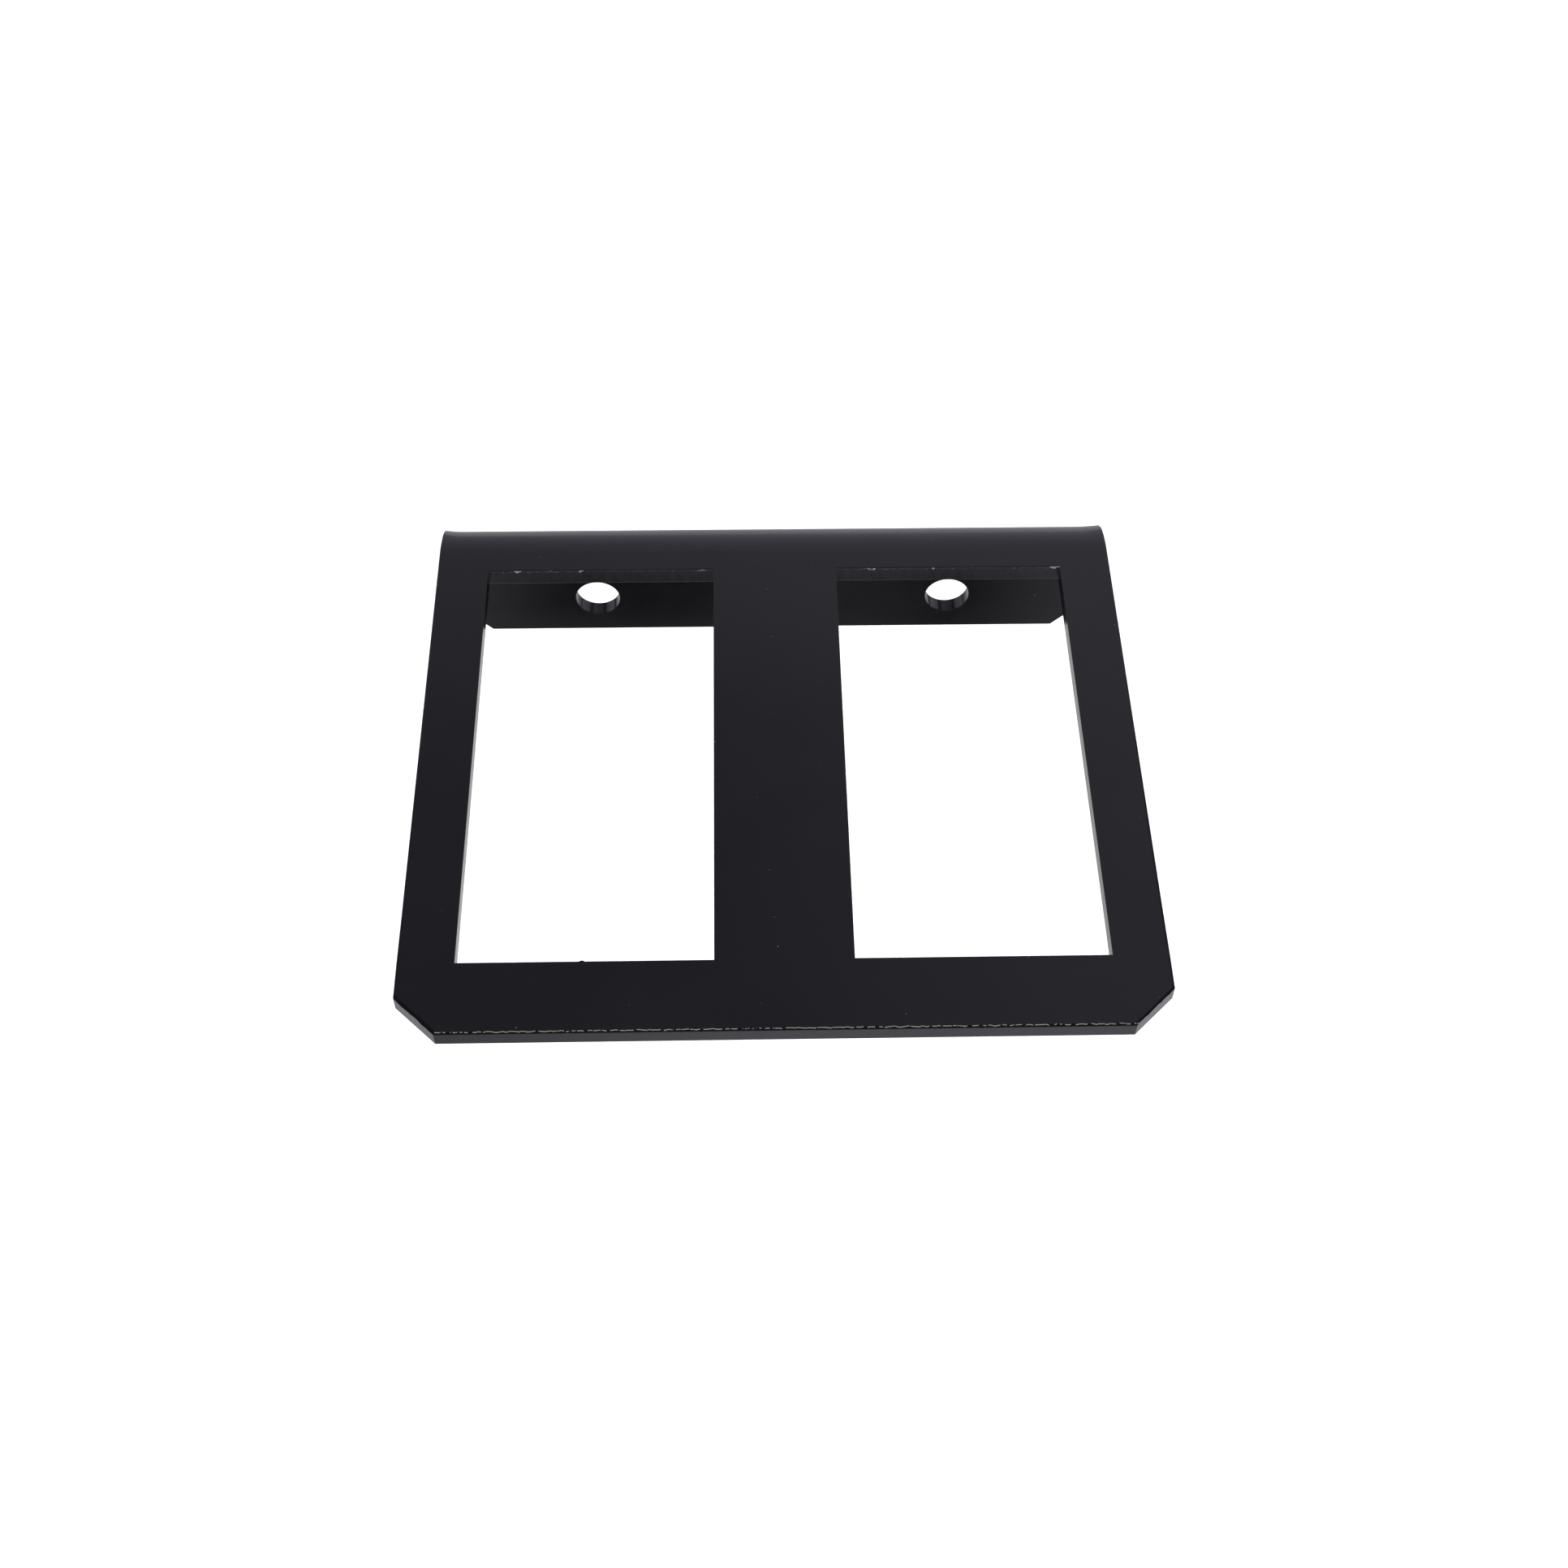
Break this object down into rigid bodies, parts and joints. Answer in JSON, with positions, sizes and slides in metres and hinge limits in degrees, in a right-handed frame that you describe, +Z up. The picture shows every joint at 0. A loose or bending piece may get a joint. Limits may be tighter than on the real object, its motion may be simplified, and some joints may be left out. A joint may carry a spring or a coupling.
{
  "type": "sheet metal mounting bracket",
  "caption": "Black coated sheet-steel bracket: a flat platform with rectangular windows, bent into a short flange with bolt holes.",
  "frame": {"origin": "on the flange's outer face, midway between the two bolt holes", "axes": "+X along the width, +Y out of the flange's outer face towards the surface it bolts to, +Z up out of the platform's top face"},
  "size_m": [0.13, 0.126, 0.0337],
  "materials": {
    "black_coat": "semi-gloss black coat on laser-cut steel sheet"
  },
  "bodies": {
    "root": {"bent_plate": "black_coat"}
  },
  "joints": []
}
